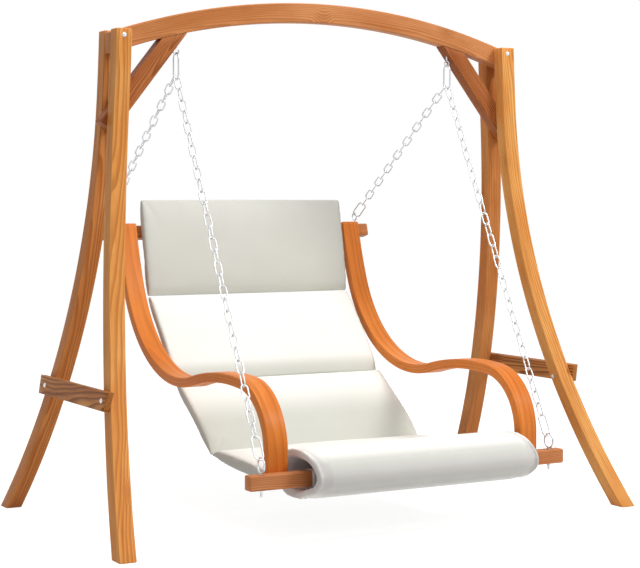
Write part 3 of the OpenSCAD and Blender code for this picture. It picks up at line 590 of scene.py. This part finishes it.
def pad_mesh(a, b, inset):
    """Points and faces of a pad between seam points, its faces drawn in by inset."""
    l, d, f = pad_frame(a, b)
    n = 36  # steps from seam to seam
    xs = [1, 0.998, 0.995, 0.985, 0.97, 0.94, 0.88, 0.78, 0.65, 0.5, 0.35, 0.2, 0.07]
    es = [0.72, 0.80, 0.86, 0.93, 0.97, 0.99] + [1.0] * 7
    stations = [(-x, e) for x, e in zip(xs, es)] + [(x, e) for x, e in zip(xs[::-1], es[::-1])]
    points = []
    m = 2 * n
    for x, e in stations:
        for k in range(m):
            front = k <= n
            s = (1 - math.cos(math.pi * (k if front else m - k) / n)) / 2
            crown = PAD_SIDE + (PAD_CROWN - PAD_SIDE) * (1 - x * x) - inset
            off = e * (crown * swell(s, 2) if front else -(PAD_BACK - inset) * swell(s, 3))
            c = a + d * (SEAM / 2 + s * (l - SEAM)) + f * off
            side = x * (HALF_W + PAD_SPREAD - PAD_DRAW * (1 - swell(s, 3)))
            points.append(placed(side, c[0], c[1]))
    return points, skin(m, len(stations)) + [c[::-1] for c in caps(m, len(stations))]


def remeshed(obj, voxel):
    """Replaces the mesh by one of even squares."""
    mod = obj.modifiers.new("remesh", "REMESH")
    mod.mode, mod.voxel_size, mod.use_smooth_shade = "VOXEL", voxel, True
    dg = bpy.context.evaluated_depsgraph_get()
    mesh = bpy.data.meshes.new_from_object(obj.evaluated_get(dg))
    obj.modifiers.clear()
    mats = list(obj.data.materials)
    obj.data = mesh
    mesh.materials.clear()
    for m in mats:
        mesh.materials.append(m)
    mesh.polygons.foreach_set("use_smooth", [True] * len(mesh.polygons))


def coords(mesh):
    co = np.zeros(len(mesh.vertices) * 3, np.float32)
    mesh.vertices.foreach_get("co", co)
    return co.reshape(-1, 3).astype(float)


def inflate(obj, pinned, cap, pressure=4.0, frames=14):
    """Swells the cloth by simulation; no point moves further than its cap."""
    rest = coords(obj.data)
    group = obj.vertex_groups.new(name="pinned")
    group.add([int(i) for i in np.nonzero(pinned)[0]], 1.0, "REPLACE")
    mod = obj.modifiers.new("cloth", "CLOTH")
    s = mod.settings
    s.quality, s.mass = 6, 0.3
    s.tension_stiffness = s.compression_stiffness = 12
    s.shear_stiffness, s.bending_stiffness = 6, 0.4
    s.vertex_group_mass = "pinned"
    s.use_pressure, s.uniform_pressure_force = True, pressure
    s.effector_weights.gravity = 0
    mod.collision_settings.use_collision = False
    mod.point_cache.frame_start, mod.point_cache.frame_end = 1, frames
    for f in range(1, frames + 1):
        scene.frame_set(f)
    dg = bpy.context.evaluated_depsgraph_get()
    moved = coords(obj.evaluated_get(dg).data)
    obj.modifiers.clear()
    obj.vertex_groups.clear()
    scene.frame_set(1)
    delta = moved - rest
    length = np.linalg.norm(delta, axis=1)
    delta *= (np.minimum(length, cap) / np.maximum(length, 1e-9))[:, None]
    obj.data.vertices.foreach_set("co", (rest + delta).astype(np.float32).ravel())
    obj.data.update()


def smooth_step(v, lo, hi):
    """0 below lo, 1 above hi, smooth between, for arrays."""
    t = np.clip((v - lo) / (hi - lo), 0.0, 1.0)
    return t * t * (3 - 2 * t)


def section_place(co, a, b):
    """Along a pad from its lower seam, and out of its seam plane, of each point."""
    l, d, f = pad_frame(a, b)
    rel = co[:, 1:3] - a - np.array([SWING_Y, 0.0])
    return rel @ d, rel @ f, l


def finish_soft(obj):
    sub = obj.modifiers.new("subdivision", "SUBSURF")
    sub.levels = sub.render_levels = 1


def seam_dir(a, b, c):
    """Into the cushion at the seam b, between the pads from a to b and from b to c."""
    return -unit(pad_frame(a, b)[2] + pad_frame(b, c)[2])


def drawn_seams(obj, a, b, low, high):
    """Draws the front towards each seam: (direction, depth, width) at a and at b."""
    co = coords(obj.data)
    along, off, l = section_place(co, a, b)
    front = smooth_step(off, -0.034, -0.002)
    moved = co.copy()
    for seam, gap in ((low, along), (high, l - along)):
        if seam:
            toward, depth, width = seam
            pull = depth * np.clip(1 - gap / width, 0, 1) ** 2 * front
            moved[:, 1:3] += toward * pull[:, None]
    obj.data.vertices.foreach_set("co", moved.astype(np.float32).ravel())
    obj.data.update()


def pad(name, node, a, b, material, slot, low, high, painted_shade=None):
    """A cushion between the seams at a and b. low and high are how its front is drawn
    in there, and the last argument is the painted shade from the lower seam up: where it is full,
    where it is none, and how much."""
    inset = PAD_INSET
    points, faces = pad_mesh(a, b, inset)
    obj = new_piece(name, points, faces, "seat", material, slot, [node])
    remeshed(obj, PAD_VOXEL)
    along, _, l = section_place(coords(obj.data), a, b)
    seam_gap = np.minimum(along, l - along)
    inflate(obj, seam_gap < SEAM_HOLD, np.clip(0.3 * seam_gap, 0.0, PAD_CAP))
    co = coords(obj.data)
    along, off, _ = section_place(co, a, b)
    set_point_data(obj.data, "weave", np.stack([co[:, 0], along, off], 1))
    set_point_data(obj.data, "inner", np.maximum(
        smooth_step(np.abs(co[:, 0]), HALF_W - 0.006, HALF_W),
        smooth_step(-off, 0.004, 0.010)))
    # Painted shade: the cloth is greyed from its lower seam up, standing for the shade in the
    # crease below.
    if painted_shade:
        full, none, share = painted_shade
        set_point_data(obj.data, "painted_shade", share * (1 - smooth_step(along, full, none)))
    drawn_seams(obj, a, b, low, high)
    finish_soft(obj)


at_s1, at_s2, at_s3 = seam_dir(S2, S1, S0), seam_dir(S3, S2, S1), seam_dir(S4, S3, S2)
pad("headrest_cushion", "headrest_pad", S1, S0, SHADED_WHITE, "grey_cloth", (at_s1, 0.010, 0.035), None,
    (0.02, 0.06, 0.6))
pad("upper_back_cushion", "upper_back_pad", S2, S1, WHITE, "white_cloth",
    (at_s2, 0.015, 0.070), (at_s1, 0.010, 0.022), (0.015, 0.080, 0.9))
pad("lower_back_cushion", "lower_back_pad", S3, S2, WHITE, "white_cloth",
    (at_s3, 0.018, 0.150), (at_s2, 0.015, 0.028), (0.12, 0.32, 1.0))
pad("seat_cushion", "seat_pad", S4, S3, WHITE, "white_cloth", None, (at_s3, 0.018, 0.050))


# ---- roll ----

def roll_point(t, o):
    """A point (y, z) at the angle t round the roll, o inside its skin."""
    a, b = ROLL_D / 2 - o, ROLL_H / 2 - o
    c, s = math.cos(t), math.sin(t)
    p = 2.5 if s < 0 < c else 2.0
    y = a * math.copysign(abs(c) ** (2 / p), c)
    z = b * math.copysign(abs(s) ** (2 / p), s)
    if s < 0:
        y += ROLL_SAG * s * s * (1 - max(0.0, c))
    return np.array([ROLL_Y + y, ROLL_Z + z])


def roll_mesh(inset):
    """The roll's outer skin, end rings and inner skin, drawn in by inset everywhere."""
    m = 120  # points round the roll
    half = HALF_W - inset
    end = [(ROLL_EASE * (1 - math.sin(a)), inset + ROLL_EASE * (1 - math.cos(a)))
           for a in (i / 8 * math.pi / 2 for i in range(9))]
    outer = [(-half + x, o) for x, o in end]
    outer += [(half * k / 8, inset) for k in range(-7, 8)]
    outer += [(half - x, o) for x, o in reversed(end)]
    profile = outer + [(x, ROLL_WALL - o) for x, o in reversed(outer)]
    points = []
    for x, o in profile:
        for i in range(m):
            c = roll_point(2 * math.pi * i / m, o)
            points.append(placed(x, c[0], c[1]))
    return points, skin(m, len(profile), wrap=True)


def roll_depth(co):
    """How deep in the wall each point lies, and its angle round the roll."""
    y, z = co[:, 1] - SWING_Y - ROLL_Y, co[:, 2] - ROLL_Z
    t = np.arctan2(z / (ROLL_H / 2), y / (ROLL_D / 2))
    rim = np.array([roll_point(v, 0.0) for v in t]) - np.array([ROLL_Y, ROLL_Z])
    return np.hypot(rim[:, 0], rim[:, 1]) - np.hypot(y, z), t


roll_points, roll_faces = roll_mesh(ROLL_INSET)
roll = new_piece("front_roll_cushion", roll_points, roll_faces, "seat", ROLL, "white_cloth",
                 ["front_roll"])
remeshed(roll, ROLL_VOXEL)
roll_co = coords(roll.data)
free = np.zeros(len(roll_co), bool)
inflate(roll, free, np.full(len(roll_co), ROLL_CAP), pressure=3.0)
roll_co = coords(roll.data)
depth, turn = roll_depth(roll_co)
set_point_data(roll.data, "weave", np.stack([roll_co[:, 0], turn * 0.13, depth], 1))
# Painted shade on the roll's front face, which faces away from the top lamp: the front is greyed,
# and its outer skin is also tinted part way to the 'other' colour.
front = smooth_step(np.abs(turn), math.radians(118), math.radians(150))
set_point_data(roll.data, "painted_shade", front)
set_point_data(roll.data, "inner", smooth_step(depth, 0.002, 0.009) * 0.7
               + smooth_step(depth, 0.020, 0.032) * 0.3 + 0.45 * front * (depth < 0.002))
finish_soft(roll)


# ---- sleeves, hidden by the cushions from the front ----

SLEEVE_T, SLEEVE_HALF, SLEEVE_STATIONS = 0.0025, HALF_W - 0.045, 60
TAPE_HALF = 0.005
FRONT_TAPE, REAR_TAPE = 0.00415, 0.01109  # from the sleeve to the cushion


def sleeve(name, node, y, z, tilt, tape, tape_dir):
    """A cloth sleeve round a bar, and the tape that holds the cushion to it."""
    up, across = (math.cos(tilt), math.sin(tilt)), (-math.sin(tilt), math.cos(tilt))
    at = lambda x, u, v: np.array(placed(x, y + up[0] * v + across[0] * u,
                                         z + up[1] * v + across[1] * u))
    rings, marks = [], []
    xs = np.linspace(-SLEEVE_HALF, SLEEVE_HALF, SLEEVE_STATIONS)
    u0, v0 = BAR_D / 2 + SOFT, BAR_H / 2 + SOFT
    for x in xs:
        for grow, ease in ((SLEEVE_T, 0.006), (0.0, 0.0045)):
            u, v = u0 + grow, v0 + grow
            corners = [at(x, u, -v), at(x, -u, -v), at(x, -u, v), at(x, u, v)]
            rings.append(eased_ring(np.array(corners), ease)[0])
            marks += [(x, i * 0.009, grow) for i in range(RING)]
    m, n = RING, len(xs)
    row = lambda j, inner: (2 * j + inner) * m
    faces = []
    for j in range(n - 1):
        for inner in (0, 1):
            faces += [(row(j, inner) + i, row(j, inner) + (i + 1) % m,
                       row(j + 1, inner) + (i + 1) % m, row(j + 1, inner) + i) for i in range(m)]
    for j in (0, n - 1):
        faces += [(row(j, 0) + i, row(j, 0) + (i + 1) % m, row(j, 1) + (i + 1) % m, row(j, 1) + i)
                  for i in range(m)]
    h, near, far = TAPE_HALF, SLEEVE_T / 2, SLEEVE_T + tape
    for x in xs:
        if tape_dir == "down":
            corners = [at(x, h, -v0 - far), at(x, -h, -v0 - far),
                       at(x, -h, -v0 - near), at(x, h, -v0 - near)]
        else:
            corners = [at(x, u0 + far, -h), at(x, u0 + near, -h),
                       at(x, u0 + near, h), at(x, u0 + far, h)]
        rings.append(eased_ring(np.array(corners), 0.0006, 0.0004)[0])
        marks += [(x, i * 0.002, 0.0) for i in range(RING)]
    first = 2 * n * m
    faces += skin(m, n, first) + caps(m, n, first)
    obj = new_piece(name, np.concatenate(rings), faces, "seat", WEBBING, "sleeve_cloth",
                    [node], weave=np.array(marks))


sleeve("front_sleeve_cloth", "front_sleeve", FRONT_Y, FRONT_Z, math.pi / 2, FRONT_TAPE, "down")
sleeve("rear_sleeve_cloth", "rear_sleeve", REAR_Y, REAR_Z, TILT, REAR_TAPE, "front")


# ---- threads of the eyes' shanks ----

def thread(name, x, y, z, tilt):
    """The rolled thread on the end of a seat eye's shank, below its nut."""
    up = np.array([0, math.cos(tilt), math.sin(tilt)])
    across = np.array([0, -math.sin(tilt), math.cos(tilt)])
    top, low, pitch, r = BAR_H / 2 + 0.0082, BAR_H / 2 + 0.0236, 0.00125, 0.0039
    turns = (low - top) / pitch
    path = []
    for i in range(int(turns * 16)):
        a = 2 * math.pi * i / 16
        h = -top - pitch * i / 16
        side = np.array([1.0, 0, 0]) * math.cos(a) + across * math.sin(a)
        path.append(np.array(placed(x, y, z)) + up * h + side * r)
    tube(name, path, 0.0004, "seat", ZINC, "zinc_steel", sides=6)


for sx, side in ((-1, "left"), (1, "right")):
    thread("front_%s_thread" % side, sx * FRONT_EYE_X, FRONT_Y, FRONT_Z, math.pi / 2)
    thread("rear_%s_thread" % side, sx * REAR_EYE_X, REAR_Y, REAR_Z, TILT)


# ---- floor, light and camera ----

def stage_material():
    """White to the camera and in reflections, with a faint shadow, and plain to light."""
    t = Tree("floor")
    ray = t.nt.nodes.new("ShaderNodeLightPath")
    seen = t.math("MAXIMUM", ray.outputs["Is Camera Ray"], ray.outputs["Is Glossy Ray"])
    seen = t.math("MAXIMUM", seen, ray.outputs["Is Transmission Ray"])
    plain = t.node("ShaderNodeBsdfDiffuse", {"Color": (0.80, 0.80, 0.80, 1)})
    pale = t.node("ShaderNodeBsdfDiffuse", {"Color": (0.45, 0.45, 0.45, 1)})
    glow = t.node("ShaderNodeEmission", {"Color": (1, 1, 1, 1), "Strength": 0.86})
    lit = t.node("ShaderNodeAddShader", {0: pale, 1: glow})
    out = t.node("ShaderNodeMixShader", {0: seen, 1: plain, 2: lit})
    t.put(t.nt.nodes["Material Output"].inputs["Surface"], out)
    return t.mat


bpy.ops.mesh.primitive_grid_add(x_subdivisions=2, y_subdivisions=2, size=240)
floor = bpy.context.object
floor.name = "floor"
floor.data.materials.append(stage_material())

world = bpy.data.worlds.new("studio")
scene.world = world
world.use_nodes = True
wt = world.node_tree
wt.nodes.clear()
path = wt.nodes.new("ShaderNodeLightPath")
seen = wt.nodes.new("ShaderNodeMath")
seen.operation = "MAXIMUM"
wt.links.new(path.outputs["Is Camera Ray"], seen.inputs[0])
wt.links.new(path.outputs["Is Glossy Ray"], seen.inputs[1])
light_bg, white_bg = wt.nodes.new("ShaderNodeBackground"), wt.nodes.new("ShaderNodeBackground")
light_bg.inputs["Color"].default_value = (0.96, 0.98, 1.0, 1)
light_bg.inputs["Strength"].default_value = 0.36
white_bg.inputs["Color"].default_value = (1, 1, 1, 1)
choose, world_out = wt.nodes.new("ShaderNodeMixShader"), wt.nodes.new("ShaderNodeOutputWorld")
wt.links.new(seen.outputs[0], choose.inputs[0])
wt.links.new(light_bg.outputs[0], choose.inputs[1])
wt.links.new(white_bg.outputs[0], choose.inputs[2])
wt.links.new(choose.outputs[0], world_out.inputs["Surface"])


def lamp(name, place, aim, size, power, colour=(1, 1, 1)):
    data = bpy.data.lights.new(name, "AREA")
    data.shape, data.size, data.energy, data.color = "DISK", size, power, colour
    obj = bpy.data.objects.new(name, data)
    scene.collection.objects.link(obj)
    obj.location = place
    obj.rotation_euler = (Vector(aim) - Vector(place)).to_track_quat("-Z", "Y").to_euler()


lamp("key", (3.2, -4.2, 5.0), (0, 0, 0.8), 2.0, 215, (1.0, 0.985, 0.96))
lamp("top", (-0.4, -0.6, 5.0), (0, 0, 0.4), 3.0, 115)

camera = bpy.data.cameras.new("camera")
camera.lens, camera.sensor_width = 95.33, 36.0
camera.clip_start, camera.clip_end = 0.1, 400.0
eye = bpy.data.objects.new("camera", camera)
scene.collection.objects.link(eye)
eye.location = (-3.150, -5.6228, 1.193)
eye.rotation_euler = (math.radians(87.055), 0.0, math.radians(-29.10))
scene.camera = eye

scene.view_settings.view_transform = "Standard"
